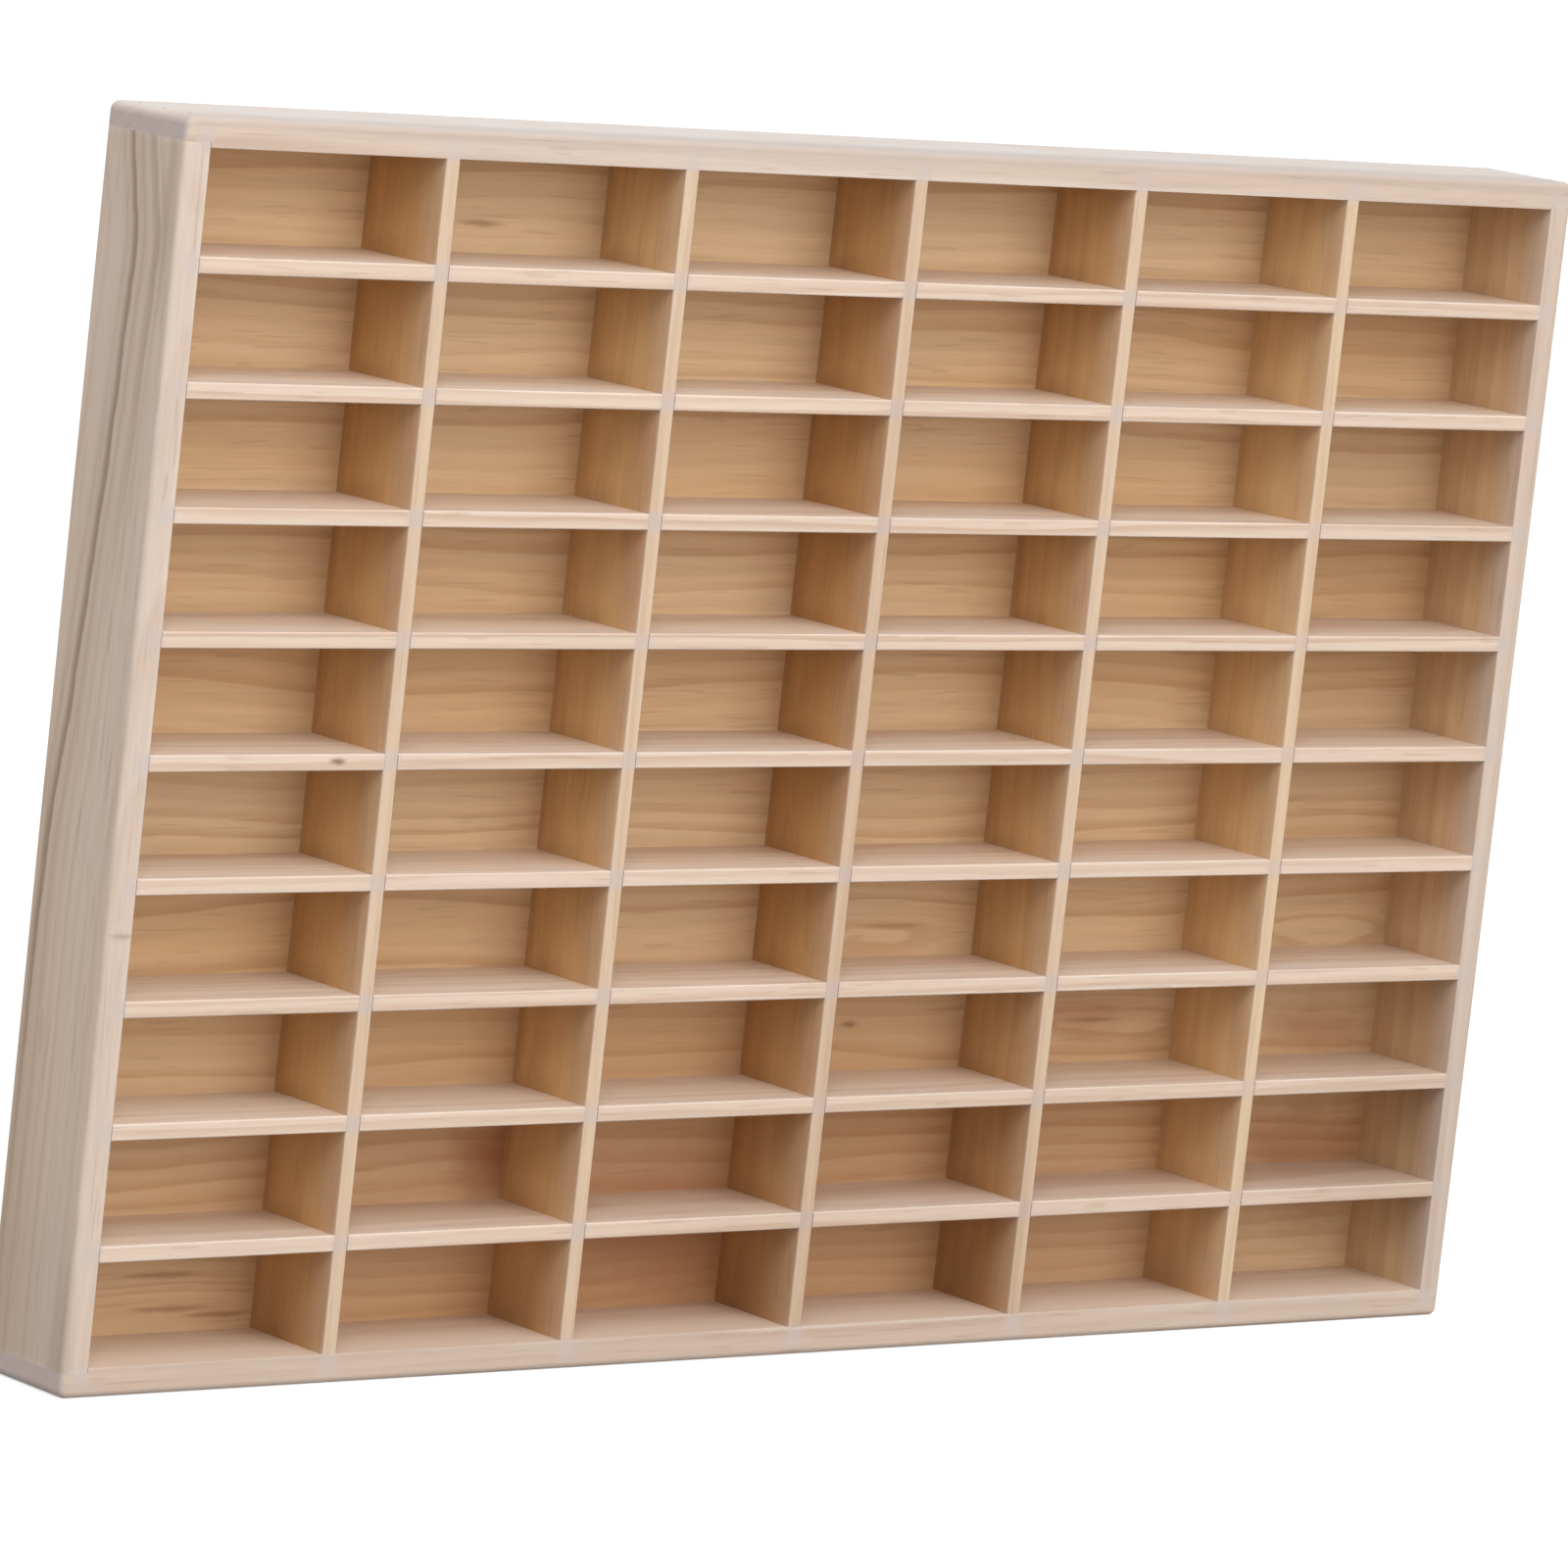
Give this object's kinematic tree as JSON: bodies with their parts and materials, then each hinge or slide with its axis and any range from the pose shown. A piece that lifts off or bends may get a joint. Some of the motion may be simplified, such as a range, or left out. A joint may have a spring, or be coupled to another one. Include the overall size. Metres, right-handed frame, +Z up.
{
  "type": "model car display case",
  "caption": "Open-fronted wooden display case: a frame with a back panel and a halved grid of shelves and dividers that makes one compartment for each small model car.",
  "frame": {"origin": "middle of the underside, under the middle of the case's width and depth", "axes": "+X along the width to the viewer's right, -Y out of the open front, +Z up"},
  "size_m": [0.559, 0.04, 0.378],
  "materials": {
    "frame_wood": "bare pale softwood, sanded, unfinished",
    "grid_wood": "bare pale softwood strips, sanded, unfinished",
    "back_panel_wood": "bare veneered panel, grain along the width",
    "brad_steel": "dull steel wire"
  },
  "bodies": {
    "root": {"top_board": "frame_wood", "bottom_board": "frame_wood", "left_side_board": "frame_wood", "right_side_board": "frame_wood", "shelf_1": "grid_wood", "shelf_2": "grid_wood", "shelf_3": "grid_wood", "shelf_4": "grid_wood", "shelf_5": "grid_wood", "shelf_6": "grid_wood", "shelf_7": "grid_wood", "shelf_8": "grid_wood", "shelf_9": "grid_wood", "divider_1": "grid_wood", "divider_2": "grid_wood", "divider_3": "grid_wood", "divider_4": "grid_wood", "divider_5": "grid_wood", "back_panel": "back_panel_wood", "corner_brads": "brad_steel", "back_panel_brads": "brad_steel"}
  },
  "joints": []
}
